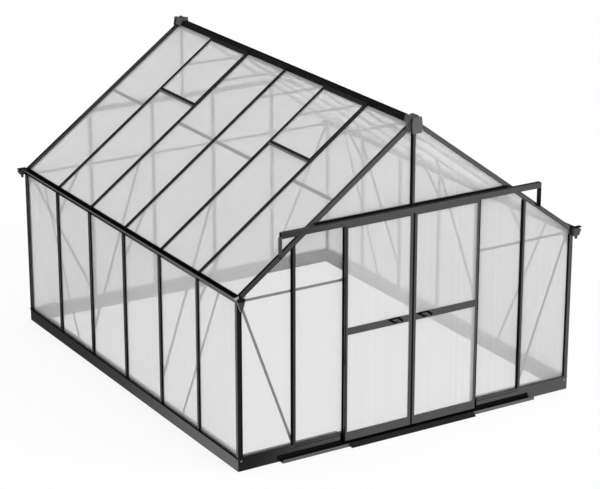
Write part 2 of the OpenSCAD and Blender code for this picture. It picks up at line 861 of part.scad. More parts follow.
base_side();  // base_left
other_side() base_side();  // base_right
base_front_half();  // base_front_left
other_side() base_front_half();  // base_front_right
base_back();
threshold();
wall_bars();  // wall_bars_left
other_side() wall_bars();  // wall_bars_right
front_posts();  // front_posts_left
other_side() front_posts();  // front_posts_right
back_posts();
transom();  // front_transom
at_back() transom();  // back_transom
gutter();  // gutter_left
other_side() gutter();  // gutter_right
other_side() gutter_outlet(outlet_drop);  // gutter_outlet_front
at_back() gutter_outlet(outlet_drop_back);  // gutter_outlet_back
gable_rafters();  // gable_rafters_left
other_side() gable_rafters();  // gable_rafters_right
roof_bars();  // roof_bars_left
other_side() roof_bars();  // roof_bars_right
ridge_beam();
ridge_cap();  // ridge_cap_front
at_back() ridge_cap();  // ridge_cap_back
cross_bars();  // cross_bars_left
other_side() cross_bars();  // cross_bars_right
bracing_front();  // bracing_front_left
other_side() bracing_front();  // bracing_front_right
bracing_back();
bracing_side();  // bracing_left
other_side() bracing_side();  // bracing_right
frame_braces();  // frame_braces_left
other_side() frame_braces();  // frame_braces_right
collar_ties();
door_track_top();
track_stay();  // track_stay_left
other_side() track_stay();  // track_stay_right
door_track_bottom();
threshold_ramp();
wall_sheets();  // wall_sheets_left
other_side() wall_sheets();  // wall_sheets_right
front_sheets();  // front_sheets_left
other_side() front_sheets();  // front_sheets_right
front_sheets_top();
back_sheets();
roof_sheets();  // roof_sheets_left
other_side() roof_sheets();  // roof_sheets_right
vent_frames();  // vent_frames_left
other_side() vent_frames();  // vent_frames_right
vent_sheets();  // vent_sheets_left
other_side() vent_sheets();  // vent_sheets_right
leaf_frame();  // door_left_frame
leaf_sheets();  // door_left_sheets
leaf_handle(handle_in);  // door_left_handle
leaf_hangers();  // door_left_hangers
other_side() leaf_frame();  // door_right_frame
other_side() leaf_sheets();  // door_right_sheets
other_side() leaf_handle(handle_in_right);  // door_right_handle
other_side() leaf_hangers();  // door_right_hangers
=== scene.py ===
"""Sliding-door greenhouse: finishes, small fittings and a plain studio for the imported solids."""

import json
import math

import bpy
import numpy as np
from bpy.props import FloatProperty, FloatVectorProperty, PointerProperty
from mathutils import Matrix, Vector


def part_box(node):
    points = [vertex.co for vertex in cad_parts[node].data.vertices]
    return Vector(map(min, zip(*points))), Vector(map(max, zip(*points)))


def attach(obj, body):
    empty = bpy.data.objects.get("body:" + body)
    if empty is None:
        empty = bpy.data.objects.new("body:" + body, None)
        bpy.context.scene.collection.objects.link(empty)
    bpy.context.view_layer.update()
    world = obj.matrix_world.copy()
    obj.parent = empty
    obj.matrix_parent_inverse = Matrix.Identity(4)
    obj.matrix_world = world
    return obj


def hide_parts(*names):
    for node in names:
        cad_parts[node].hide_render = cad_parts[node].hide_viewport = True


bl_info = {
    "name": "Sliding-door greenhouse",
    "version": (1, 0, 0),
    "blender": (4, 5, 0),
    "location": "View3D > Sidebar > Greenhouse",
    "description": "Finishes, fittings and studio for a twin-wall polycarbonate greenhouse",
    "category": "Add Mesh",
}

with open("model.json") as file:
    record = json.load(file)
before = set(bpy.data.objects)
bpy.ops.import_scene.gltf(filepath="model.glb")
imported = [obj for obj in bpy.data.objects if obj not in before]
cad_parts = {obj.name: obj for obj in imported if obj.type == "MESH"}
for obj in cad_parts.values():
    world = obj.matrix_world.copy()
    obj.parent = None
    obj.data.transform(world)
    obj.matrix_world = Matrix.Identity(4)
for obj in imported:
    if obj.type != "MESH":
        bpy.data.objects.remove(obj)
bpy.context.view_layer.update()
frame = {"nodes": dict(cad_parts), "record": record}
NODE_NAMES = [entry["node"] for entry in frame["record"]["subparts"]]


# ---- Settings ----

class GreenhouseFinish(bpy.types.PropertyGroup):
    """Colours and sizes of the finish that a user may want to change."""

    frame_colour: FloatVectorProperty(
        name="Frame colour", description="Powder coat of the bars", subtype="COLOR",
        min=0, max=1, default=(0.0035, 0.0036, 0.0038))
    base_colour: FloatVectorProperty(
        name="Base colour", description="Coat of the base rails", subtype="COLOR",
        min=0, max=1, default=(0.0045, 0.0046, 0.0048))
    # Also the black of the ridge beam, and the painted shade on the right track stay.
    plastic_colour: FloatVectorProperty(
        name="Plastic colour", description="Moulded black parts", subtype="COLOR",
        min=0, max=1, default=(0.004, 0.004, 0.0042))
    cap_colour: FloatVectorProperty(
        name="Cap colour", description="Ridge caps", subtype="COLOR",
        min=0, max=1, default=(0.086, 0.088, 0.09))
    # Also the painted light on the left track stay.
    plate_colour: FloatVectorProperty(
        name="Plate colour", description="Corner plates and gutter outlets", subtype="COLOR",
        min=0, max=1, default=(0.032, 0.032, 0.033))
    # Also the painted highlight lines on the rafters and along the gutter lips.
    inner_and_highlight_colour: FloatVectorProperty(
        name="Inner bar colour", description="Cross bars under the roof", subtype="COLOR",
        min=0, max=1, default=(0.13, 0.13, 0.135))
    seal_colour: FloatVectorProperty(
        name="Seal colour", description="Black rubber seals", subtype="COLOR",
        min=0, max=1, default=(0.003, 0.003, 0.0032))
    sheet_colour: FloatVectorProperty(
        name="Sheet colour", description="Milky sheets of the walls and roof", subtype="COLOR",
        min=0, max=1, default=(0.83, 0.83, 0.83))
    gable_colour: FloatVectorProperty(
        name="Gable sheet colour", description="Milky sheets of the gables and doors",
        subtype="COLOR", min=0, max=1, default=(0.74, 0.74, 0.74))
    sheet_alpha: FloatProperty(
        name="Sheet cover", description="Share of a sheet's skin that isn't open", min=0, max=1,
        default=0.46)
    clear_alpha: FloatProperty(
        name="Clear sheet cover", description="The same share for the left front sheets",
        min=0, max=1, default=0.25)
    rib_pitch: FloatProperty(
        name="Rib pitch", description="Distance between the inner ribs of a sheet",
        subtype="DISTANCE", unit="LENGTH", default=0.0105)
    floor_colour: FloatVectorProperty(
        name="Floor colour", description="Plain studio floor", subtype="COLOR",
        min=0, max=1, default=(0.9, 0.9, 0.9))


class GreenhouseFittings(bpy.types.PropertyGroup):
    """Sizes of the seals and small fittings that a user may want to change."""

    post_x: FloatProperty(
        name="Front post", description="Distance of each front post from the middle",
        subtype="DISTANCE", unit="LENGTH", default=1.075)
    jamb_x: FloatProperty(
        name="Jamb", description="Distance of each door jamb from the middle",
        subtype="DISTANCE", unit="LENGTH", default=0.612)
    wing: FloatProperty(
        name="Wing", description="Half the width of a bar's middle flange",
        subtype="DISTANCE", unit="LENGTH", default=0.014)
    seal_w: FloatProperty(
        name="Seal width", description="Width of a glazing seal beside a post",
        subtype="DISTANCE", unit="LENGTH", default=0.008)
    # The left front corner's seal is widened to this width: partly a seal, partly painted shade on
    # that corner.
    corner_shade_w: FloatProperty(
        name="Corner seal width", description="Width of the seal at the left front corner",
        subtype="DISTANCE", unit="LENGTH", default=0.022)
    seal_t: FloatProperty(
        name="Seal thickness", description="Height of a glazing seal over its sheet",
        subtype="DISTANCE", unit="LENGTH", default=0.008)
    lip_w: FloatProperty(
        name="Door lip", description="Width of the rubber lip on a meeting stile",
        subtype="DISTANCE", unit="LENGTH", default=0.0075)
    drip: FloatProperty(
        name="Drip edge", description="How far the drip edge stands out from the base rail",
        subtype="DISTANCE", unit="LENGTH", default=0.009)
    apron_w: FloatProperty(
        name="Apron width", description="Width of the rubber along the foot of the roof",
        subtype="DISTANCE", unit="LENGTH", default=0.0145)
    bolt_r: FloatProperty(
        name="Bolt head", description="Radius of a bolt head",
        subtype="DISTANCE", unit="LENGTH", default=0.0065)


def finish():
    """The finish settings of the open scene."""
    return bpy.context.scene.greenhouse_finish


def fittings():
    """The fitting settings of the open scene."""
    return bpy.context.scene.greenhouse_fittings


# ---- Shapes ----

def rounded(width, height, radius, steps=2):
    """Ring of a rounded rectangle: a quarter circle about each of four corner centres."""
    turn = np.linspace(0, math.pi / 2, steps + 1)
    ring = []
    for quarter, (right, top) in enumerate(((1, 1), (-1, 1), (-1, -1), (1, -1))):
        angle = turn + quarter * math.pi / 2
        ring.append(np.column_stack([right * (width / 2 - radius) + radius * np.cos(angle),
                                     top * (height / 2 - radius) + radius * np.sin(angle)]))
    return np.concatenate(ring)


def circle(steps):
    """Ring of a unit circle: cosine and sine of evenly spaced angles."""
    angle = np.arange(steps) * 2 * math.pi / steps
    return np.column_stack([np.cos(angle), np.sin(angle)])


def sweep(ring, path, side, up, scale=None):
    """Closed tube: point (i, k) is path i plus scale i times (ring k's first coordinate along
    side plus its second along up). Flat caps close both ends, and all faces point out."""
    path, ring = np.asarray(path, float), np.asarray(ring, float)
    scale = np.ones(len(path)) if scale is None else np.asarray(scale, float)
    side = np.broadcast_to(np.asarray(side, float), path.shape)
    up = np.broadcast_to(np.asarray(up, float), path.shape)
    across = ring[None, :, :1] * side[:, None] + ring[None, :, 1:] * up[:, None]
    points = (path[:, None] + scale[:, None, None] * across).reshape(-1, 3)
    rows, count = len(path), len(ring)
    i, k = np.meshgrid(np.arange(rows - 1), np.arange(count), indexing="ij")
    after = (k + 1) % count
    quads = np.stack([i * count + k, (i + 1) * count + k, (i + 1) * count + after,
                      i * count + after], -1).reshape(-1, 4)
    faces = quads.tolist() + [list(range(count)),
                              list(range(rows * count - 1, (rows - 1) * count - 1, -1))]
    turned = np.cross(side[0], up[0]) @ (path[1] - path[0])
    area = np.sum(ring[:, 0] * np.roll(ring[:, 1], -1) - np.roll(ring[:, 0], -1) * ring[:, 1])
    if turned * area > 0:
        faces = [face[::-1] for face in faces]
    return points, faces


def strip(lo, hi, radius=0.0008, steps=1):
    """Straight strip that fills a box: a rounded rectangle carried along the longest side."""
    lo, hi = np.minimum(lo, hi), np.maximum(lo, hi)
    size, middle, axes = hi - lo, (lo + hi) / 2, np.eye(3)
    run = int(np.argmax(size))
    first, second = [axis for axis in range(3) if axis != run]
    radius = min(radius, size[first] / 2.1, size[second] / 2.1)
    reach = axes[run] * size[run] / 2
    return sweep(rounded(size[first], size[second], radius, steps),
                 [middle - reach, middle + reach], axes[first], axes[second])


def sloping(start, end, width, height, normal, radius=0.0008):
    """Straight strip between two points: a rounded rectangle, its height along the normal."""
    start, end, normal = (np.asarray(v, float) for v in (start, end, normal))
    run = (end - start) / np.linalg.norm(end - start)
    side = np.cross(run, normal)
    return sweep(rounded(width, height, radius, 1), [start, end], side / np.linalg.norm(side),
                 normal)


def plate(outline, from_y, to_y):
    """Flat upright plate: an outline in X and Z carried along Y from one place to another."""
    return sweep(outline, [(0, from_y, 0), (0, to_y, 0)], (1, 0, 0), (0, 0, 1))


def head(centre, axis, radius, height, steps=8):
    """Domed bolt head: a circle carried along its axis, narrowing as a quarter ellipse does."""
    axis = np.asarray(axis, float)
    side = np.cross(axis, [0.0, 0.0, 1.0])
    side /= np.linalg.norm(side)
    rise = np.array([0.0, 0.45, 0.85, 1.0])
    path = np.asarray(centre, float) + rise[:, None] * height * axis
    return sweep(circle(steps), path, side, np.cross(axis, side),
                 radius * np.sqrt(1.02 - rise ** 2))


def joined(shapes):
    """Several shapes as one: each one's face numbers are raised by the points before it."""
    points, faces, before = [], [], 0
    for some_points, some_faces in shapes:
        points.append(some_points)
        faces += [[number + before for number in face] for face in some_faces]
        before += len(some_points)
    return np.concatenate(points), faces


def mirrored(shape, axis=0, about=0.0):
    """Copy of a shape on the other side of a plane, with its faces turned round to match."""
    points = shape[0].copy()
    points[:, axis] = 2 * about - points[:, axis]
    return points, [face[::-1] for face in shape[1]]


def piece(name, shapes, material, body, smooth=False):
    """Puts shapes into one object with a finish, and makes it ride on a body."""
    points, faces = joined(shapes)
    mesh = bpy.data.meshes.new(name)
    mesh.from_pydata(points.tolist(), [], faces)
    mesh.materials.append(bpy.data.materials[material])
    if smooth:
        mesh.polygons.foreach_set("use_smooth", [len(face) == 4 for face in faces])
    mesh.update()
    thing = bpy.data.objects.new(name, mesh)
    bpy.context.scene.collection.objects.link(thing)
    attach(thing, body)
    return thing


# ---- Places on the house ----

def node_points(node):
    """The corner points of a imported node, as an array."""
    mesh = frame["nodes"][node].data
    flat = np.empty(3 * len(mesh.vertices), dtype=np.float32)
    mesh.vertices.foreach_get("co", flat)
    return flat.reshape(-1, 3).astype(float)


def low(node, axis):
    """A node's lowest place along an axis."""
    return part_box(node)[0][axis]


def high(node, axis):
    """A node's highest place along an axis."""
    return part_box(node)[1][axis]


# The roof slope, from the end faces of the left rafters: its fall for each metre across, the
# height of its face over the middle, its direction and normal, and the depth of the rafters.
RAFTERS = node_points("gable_rafters_left")
NEAR_EAVE = RAFTERS[RAFTERS[:, 0] < RAFTERS[:, 0].min() + 0.001]
NEAR_RIDGE = RAFTERS[RAFTERS[:, 0] > RAFTERS[:, 0].max() - 0.001]
FALL = ((NEAR_RIDGE[:, 2].max() - NEAR_EAVE[:, 2].max())
        / (NEAR_RIDGE[0, 0] - NEAR_EAVE[0, 0]))
RIDGE_Z = NEAR_EAVE[:, 2].max() - FALL * NEAR_EAVE[0, 0]
SLOPE = np.array([1.0, 0.0, FALL]) / math.hypot(1, FALL)
ROOF_UP = np.array([-SLOPE[2], 0.0, SLOPE[0]])
RAFTER_LOW = NEAR_EAVE[:, 2].max() - NEAR_EAVE[:, 2].min()

WALL = -low("wall_bars_left", 0)
FRONT = low("wall_bars_left", 1)
BACK = high("wall_bars_left", 1)
MIDDLE_Y = (FRONT + BACK) / 2
BASE_TOP = high("base_left", 2)
EAVE_LOW = low("gutter_left", 2)
# Half the width of a corner post, and of a roof bar
POST_HALF, BAR_HALF = 0.015, 0.011
BACK_BAY = 2 * (WALL - POST_HALF) / 5
# The middles of the bars of a side, from the front corner to the back one
FIRST_BAR = low("roof_bars_left", 1) + BAR_HALF
LAST_BAR = high("roof_bars_left", 1) - BAR_HALF
BAR_Y = FIRST_BAR + (LAST_BAR - FIRST_BAR) / 4 * np.arange(-1, 6)
# Room left between a seal and its neighbour
GAP = 0.001


def roof_point(x, depth):
    """Point in the left roof slope at a distance from the middle, some way under its face."""
    return np.array([-x, 0.0, RIDGE_Z - x * FALL]) - depth * ROOF_UP


def under_rafter(x):
    """Height of the underside of the rafters at a distance from the middle."""
    return RIDGE_Z - abs(x) * FALL - RAFTER_LOW


def both_sides(shapes):
    """Shapes of the left side, and the same on the right."""
    return shapes + [mirrored(shape) for shape in shapes]


def both_gables(shapes):
    """Shapes of the front gable, and the same on the back one."""
    return shapes + [mirrored(shape, 1, MIDDLE_Y) for shape in shapes]


# ---- Shared shader groups ----

def feed(tree, inputs, sources):
    """Gives each named input its value, or a link from the output that is named for it."""
    for name, source in sources.items():
        if isinstance(source, bpy.types.NodeSocket):
            tree.links.new(source, inputs[name])
        else:
            inputs[name].default_value = source


def add_node(tree, kind, sources, **settings):
    """A new shader node, set and then fed."""
    node = tree.nodes.new(kind)
    for name, value in settings.items():
        setattr(node, name, value)
    feed(tree, node.inputs, sources)
    return node.outputs


def maths(tree, operation, *values):
    """The result of one math node on numbers or outputs."""
    return add_node(tree, "ShaderNodeMath", dict(enumerate(values)), operation=operation)["Value"]


def new_group(name, inputs, outputs):
    """An empty shader group with its named inputs (type and default) and outputs."""
    group = bpy.data.node_groups.new(name, "ShaderNodeTree")
    for label, kind, default in inputs:
        socket = group.interface.new_socket(label, in_out="INPUT", socket_type=kind)
        if default is not None:
            socket.default_value = default
    for label, kind in outputs:
        group.interface.new_socket(label, in_out="OUTPUT", socket_type=kind)
    given, out = group.nodes.new("NodeGroupInput"), group.nodes.new("NodeGroupOutput")
    return group, given.outputs, out.inputs


def coat_group():
    """Powder coat: fine orange-peel bumps, and colour and gloss that drift over large patches."""
    if "powder_coat" in bpy.data.node_groups:
        return bpy.data.node_groups["powder_coat"]
    group, given, out = new_group(
        "powder_coat",
        [("Position", "NodeSocketVector", None), ("Colour", "NodeSocketColor", (0, 0, 0, 1)),
         ("Roughness", "NodeSocketFloat", 0.3), ("Peel", "NodeSocketFloat", 400.0)],
        [("Colour", "NodeSocketColor"), ("Roughness", "NodeSocketFloat"),
         ("Height", "NodeSocketFloat")])
    patches = add_node(group, "ShaderNodeTexNoise",
                       {"Scale": 2.2, "Detail": 4, "Vector": given["Position"]})["Fac"]
    peel = add_node(group, "ShaderNodeTexNoise",
                    {"Scale": given["Peel"], "Detail": 1, "Vector": given["Position"]})["Fac"]
    tone = add_node(group, "ShaderNodeMapRange",
                    {"To Min": 0.75, "To Max": 1.35, "Value": patches})["Result"]
    shade = add_node(group, "ShaderNodeVectorMath", {0: given["Colour"], "Scale": tone},
                     operation="SCALE")["Vector"]
    gloss = maths(group, "MULTIPLY_ADD", patches, 0.05, given["Roughness"])
    feed(group, out, {"Colour": shade, "Roughness": gloss, "Height": peel})
    return group


def dust_group():
    """Settled dust: a mask that is strongest near the ground and broken up by noise."""
    if "ground_dust" in bpy.data.node_groups:
        return bpy.data.node_groups["ground_dust"]
    group, given, out = new_group(
        "ground_dust",
        [("Position", "NodeSocketVector", None), ("Height", "NodeSocketFloat", 0.12),
         ("Amount", "NodeSocketFloat", 0.3)],
        [("Mask", "NodeSocketFloat")])
    place = add_node(group, "ShaderNodeSeparateXYZ", {"Vector": given["Position"]})
    fall = add_node(group, "ShaderNodeMapRange",
                    {"From Max": given["Height"], "To Min": 1, "To Max": 0,
                     "Value": place["Z"]})["Result"]
    broken = add_node(group, "ShaderNodeTexNoise",
                      {"Scale": 35, "Detail": 5, "Vector": given["Position"]})["Fac"]
    mask = maths(group, "MULTIPLY", maths(group, "MULTIPLY", fall, broken), given["Amount"])
    feed(group, out, {"Mask": mask})
    return group


def rib_group():
    """Inner ribs of a twin-wall sheet: thin lines a pitch apart across one axis, and slow streaks."""
    if "sheet_ribs" in bpy.data.node_groups:
        return bpy.data.node_groups["sheet_ribs"]
    group, given, out = new_group(
        "sheet_ribs",
        [("Across", "NodeSocketFloat", 0.0), ("Pitch", "NodeSocketFloat", 0.0105),
         ("Rib width", "NodeSocketFloat", 0.16)],
        [("Rib", "NodeSocketFloat"), ("Streak", "NodeSocketFloat")])
    count = maths(group, "DIVIDE", given["Across"], given["Pitch"])
    rib = maths(group, "LESS_THAN", maths(group, "FRACT", count), given["Rib width"])
    streak = add_node(group, "ShaderNodeTexNoise", {"Scale": 0.35, "Detail": 3, "W": count},
                      noise_dimensions="1D")["Fac"]
    feed(group, out, {"Rib": rib, "Streak": streak})
    return group


# ---- Materials ----

def principled(name, values):
    """A material with one Principled shader whose unlinked sockets hold the given values."""
    material = bpy.data.materials.new(name)
    material.use_nodes = True
    shader = material.node_tree.nodes["Principled BSDF"]
    feed(material.node_tree, shader.inputs, values)
    return material, material.node_tree, shader


def object_place(tree):
    """The place on the object, which every procedural finish is laid out by."""
    return add_node(tree, "ShaderNodeTexCoord", {})["Object"]


def bumps(tree, height, strength, distance):
    """The normal of a surface with fine bumps."""
    return add_node(tree, "ShaderNodeBump", {"Strength": strength, "Distance": distance,
                                             "Height": height})["Normal"]


def coated_metal(name, colour, roughness, specular, dust=0.25):
    """Satin powder coat, with a fine peel and dust near the ground."""
    material, tree, shader = principled(name, {"Specular IOR Level": specular})
    place = object_place(tree)
    coat = add_node(tree, "ShaderNodeGroup",
                    {"Colour": (*colour, 1), "Roughness": roughness, "Position": place},
                    node_tree=coat_group())
    dusty = add_node(tree, "ShaderNodeGroup", {"Amount": dust, "Position": place},
                     node_tree=dust_group())
    mix = add_node(tree, "ShaderNodeMix", {"Factor": dusty["Mask"], "A": coat["Colour"],
                                           "B": (0.03, 0.029, 0.028, 1)}, data_type="RGBA")
    feed(tree, shader.inputs, {"Base Color": mix["Result"], "Roughness": coat["Roughness"],
                               "Normal": bumps(tree, coat["Height"], 0.06, 0.0004)})
    return material


def twin_wall(name, axis, colour, share):
    """Milky twin-wall sheet: part open, part scattering, with ribs a pitch apart across one axis."""
    material, tree, shader = principled(
        name, {"Roughness": 1.0, "IOR": 1.3, "Transmission Weight": 0.35,
               "Specular IOR Level": 0.4, "Coat Weight": 0.1, "Coat Roughness": 0.12})
    split = add_node(tree, "ShaderNodeSeparateXYZ", {"Vector": object_place(tree)})
    ribs = add_node(tree, "ShaderNodeGroup",
                    {"Pitch": finish().rib_pitch, "Across": split[axis]}, node_tree=rib_group())
    tint = add_node(tree, "ShaderNodeMix",
                    {"Factor": ribs["Streak"], "A": (*[0.97 * c for c in colour], 1),
                     "B": (*[min(1, 1.03 * c) for c in colour], 1)}, data_type="RGBA")
    cover = maths(tree, "MULTIPLY_ADD", ribs["Rib"], 0.05, share)
    cover = maths(tree, "MULTIPLY_ADD", ribs["Streak"], 0.03, cover)
    feed(tree, shader.inputs, {"Base Color": tint["Result"], "Alpha": cover})
    return material


def rubber(name, colour):
    """Matt rubber: a soft bloom of lighter patches and a faint grain."""
    material, tree, shader = principled(name, {"Specular IOR Level": 0.12, "Roughness": 0.75})
    place = object_place(tree)
    bloom = add_node(tree, "ShaderNodeTexNoise", {"Scale": 9, "Detail": 5, "Vector": place})
    ramp = tree.nodes.new("ShaderNodeValToRGB")
    ramp.color_ramp.elements[0].color = (*colour, 1)
    ramp.color_ramp.elements[0].position = 0.45
    ramp.color_ramp.elements[1].color = (*[min(0.9, 1.25 * c + 0.004) for c in colour], 1)
    feed(tree, ramp.inputs, {"Fac": bloom["Fac"]})
    grain = add_node(tree, "ShaderNodeTexNoise", {"Scale": 900, "Vector": place})
    feed(tree, shader.inputs, {"Base Color": ramp.outputs["Color"],
                               "Normal": bumps(tree, grain["Fac"], 0.1, 0.0003)})
    return material


def zinc(name):
    """Zinc plate: bright metal whose sheen and tone drift a little from patch to patch."""
    material, tree, shader = principled(name, {"Metallic": 0.9})
    spangle = add_node(tree, "ShaderNodeTexVoronoi",
                       {"Scale": 260, "Vector": object_place(tree)})["Distance"]
    tone = tree.nodes.new("ShaderNodeValToRGB")
    tone.color_ramp.elements[0].color = (0.55, 0.56, 0.57, 1)
    tone.color_ramp.elements[1].color = (0.75, 0.76, 0.77, 1)
    feed(tree, tone.inputs, {"Fac": spangle})
    gloss = add_node(tree, "ShaderNodeMapRange",
                     {"To Min": 0.28, "To Max": 0.45, "Value": spangle})["Result"]
    feed(tree, shader.inputs, {"Base Color": tone.outputs["Color"], "Roughness": gloss})
    return material


def put_on(node, material):
    """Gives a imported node's object one material."""
    thing = frame["nodes"][node]
    if not thing.material_slots:
        thing.data.materials.append(material)
    for slot in thing.material_slots:
        slot.material = material


# ---- Operators ----

class GREENHOUSE_OT_finishes(bpy.types.Operator):
    """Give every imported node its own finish"""
    bl_idname = "greenhouse.finishes"
    bl_label = "Finishes"

    def execute(self, context):
        settings = finish()
        bars = coated_metal("frame_coat", settings.frame_colour, roughness=0.05, specular=1.0)
        base = coated_metal("base_coat", settings.base_colour, roughness=0.05, specular=1.0,
                            dust=0.3)
        plastic = coated_metal("moulded_black", settings.plastic_colour, roughness=0.4,
                               specular=0.6)
        caps = coated_metal("ridge_cap_grey", settings.cap_colour, roughness=0.4, specular=0.5)
        ridge = coated_metal("ridge_black_and_painted_stay_shade", settings.plastic_colour, roughness=0.45,
                             specular=0.15)
        plates = coated_metal("plate_grey_and_painted_stay_light", settings.plate_colour, roughness=0.25, specular=0.6)
        light = coated_metal("inner_bar_and_highlight_grey", settings.inner_and_highlight_colour, roughness=0.4,
                             specular=0.3)
        rubber("seal_rubber", settings.seal_colour)
        zinc("zinc_plate")
        side_sheets = twin_wall("sheets_ribbed_along_sides", "Y", settings.sheet_colour,
                                settings.sheet_alpha)
        gable_sheets = twin_wall("sheets_ribbed_along_gables", "X", settings.gable_colour,
                                 settings.sheet_alpha)
        clear_sheets = twin_wall("sheets_clear", "X", [0.86 * c for c in settings.gable_colour],
                                 settings.clear_alpha)
        for node in NODE_NAMES:
            if node == "front_sheets_left":
                put_on(node, clear_sheets)
            elif "sheets" in node:
                side = node.startswith(("wall", "roof", "vent"))
                put_on(node, side_sheets if side else gable_sheets)
            elif node.startswith(("base", "threshold")):
                put_on(node, base)
            elif node.startswith("ridge_cap"):
                put_on(node, caps)
            elif node.startswith("cross_bars"):
                put_on(node, light)
            # The right track stay is given black: painted shade from the header above it.
            elif node in ("ridge_beam", "track_stay_right"):
                put_on(node, ridge)
            # The left track stay is the same part as the right one, but is given the lighter plate
            # grey: painted light.
            elif "outlet" in node or node == "track_stay_left":
                put_on(node, plates)
            elif "handle" in node or "hangers" in node:
                put_on(node, plastic)
            else:
                put_on(node, bars)
        return {"FINISHED"}


def beside(x, sides, from_z, to_z, width=None):
    """Seals on a front sheet beside a post at x: strips from one height to another."""
    sizes = fittings()
    width = sizes.seal_w if width is None else width
    sheet = low("front_sheets_left", 1)
    return [strip((x + side * (sizes.wing - 0.004), sheet - sizes.seal_t, from_z),
                  (x + side * (sizes.wing + width), sheet - 0.0002, to_z), 0.002)
            for side in sides]


class GREENHOUSE_OT_gable_seals(bpy.types.Operator):
    """Make the rubber seals beside the posts of both gables; those at the jambs and at the left front
    corner also paint the shade there
    """
    bl_idname = "greenhouse.gable_seals"
    bl_label = "Gable seals"

    def execute(self, context):
        sizes = fittings()
        over = sizes.wing + sizes.seal_w
        corner = WALL - POST_HALF
        foot = BASE_TOP + 0.007
        # The corner seals end under the corner plates, well below the rafters.
        corner_top = under_rafter(WALL - 0.02) - 0.045
        seals = beside(0.0, (-1, 1), low("front_sheets_top", 2) + GAP,
                       low("ridge_beam", 2) - 0.02)
        for side in (-1, 1):
            seals += beside(side * sizes.post_x, (-1, 1), foot,
                            under_rafter(sizes.post_x + over) - 2 * GAP)
            # The black seal on the outer side of each jamb is partly a seal and partly painted shade
            # of the gap behind the leaf.
            seals += beside(side * sizes.jamb_x, (side,), foot, low("front_transom", 2) - GAP)
            # At the left front corner the seal is widened, and its extra black width is painted
            # shade.
            seals += beside(side * corner, (-side,), foot, corner_top,
                            sizes.corner_shade_w if side < 0 else sizes.seal_w)
        piece("front_gable_seals", seals, "seal_rubber", "house")

        seals = []
        for x in (0.5 * BACK_BAY, 1.5 * BACK_BAY):
            top = min(under_rafter(x + over) - 2 * GAP, low("back_transom", 2) - GAP)
            seals += both_sides(beside(x, (-1, 1), foot, top))
        for side in (-1, 1):
            seals += beside(side * corner, (-side,), foot, corner_top)
        piece("back_gable_seals", [mirrored(shape, 1, MIDDLE_Y) for shape in seals],
              "seal_rubber", "house")
        return {"FINISHED"}


class GREENHOUSE_OT_roof_strips(bpy.types.Operator):
    """Make the seals along the foot of the roof sheets, and the black strip over the door track,
    which is partly a seal and partly painted shade
    """
    bl_idname = "greenhouse.roof_strips"
    bl_label = "Roof strips"

    def execute(self, context):
        # Aprons: a rounded rectangle carried along Y over the foot of each roof sheet, which ends
        # a little inside the wall's face and lies this far under the face of the rafters
        sizes = fittings()
        sheet_end, sheet_depth = WALL - 0.0185, 0.0195
        foot = roof_point(sheet_end, sheet_depth) + sizes.apron_w / 2 * SLOPE
        ring = rounded(sizes.apron_w, 0.003, 0.001, 1)
        bar_edge, last = 0.003, len(BAR_Y) - 2
        aprons = []
        for bay in range(last + 1):
            start = BAR_Y[bay] + (sizes.wing if bay == 0 else bar_edge)
            end = BAR_Y[bay + 1] - (sizes.wing if bay == last else bar_edge)
            aprons.append(sweep(ring, [foot + [0, start, 0], foot + [0, end, 0]],
                                SLOPE, ROOF_UP))
        piece("roof_apron_seals", both_sides(aprons), "seal_rubber", "house")

        # Black strip over the track, partly a weather seal and partly painted shade between the
        # transom and the track: it ends a little inside the place where the rafters meet the track
        track = high("door_track_top", 2)
        half = (RIDGE_Z - track) / FALL - 0.05
        over = strip((-half, FRONT - 0.004, track + 0.0005),
                     (half, FRONT + 0.0005, track + 0.019), 0.002)
        piece("track_seal_and_painted_shade", [over], "seal_rubber", "house")
        return {"FINISHED"}


class GREENHOUSE_OT_door_seals(bpy.types.Operator):
    """Make the rubber lip of each door leaf, and the black edge strip that paints the shade beside
    its outer stile
    """
    bl_idname = "greenhouse.door_seals"
    bl_label = "Door seals"

    def execute(self, context):
        # Lip: an angle in plan carried up the meeting stile. Edge: a flat black strip on the other
        # one, partly a seal and partly painted shade of the gap at the jamb.
        lip_w = fittings().lip_w
        from_middle, skin, depth = 0.0006, 0.0015, 0.008
        foot = high("door_track_bottom", 2) + 0.008
        for name, side in (("door_left", -1), ("door_right", 1)):
            lo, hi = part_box(name + "_frame")
            face, top = lo[1], hi[2]
            inner, outer = sorted((abs(lo[0]), abs(hi[0])))
            ring = np.array([(from_middle, -skin), (lip_w, -skin), (lip_w, 0.0), (inner, 0.0),
                             (inner, depth), (from_middle, depth)]) * [side, 1]
            lip = sweep(ring, [(0, face, foot), (0, face, top - GAP)], (1, 0, 0), (0, 1, 0))
            # Black strip on the outer stile: partly a seal, partly painted shade.
            edge = strip((side * (outer - 0.008), face - skin, foot),
                         (side * outer, face, top - 3 * GAP), 0.0006)
            piece(name + "_seals", [lip, edge], "seal_rubber", name)
        return {"FINISHED"}


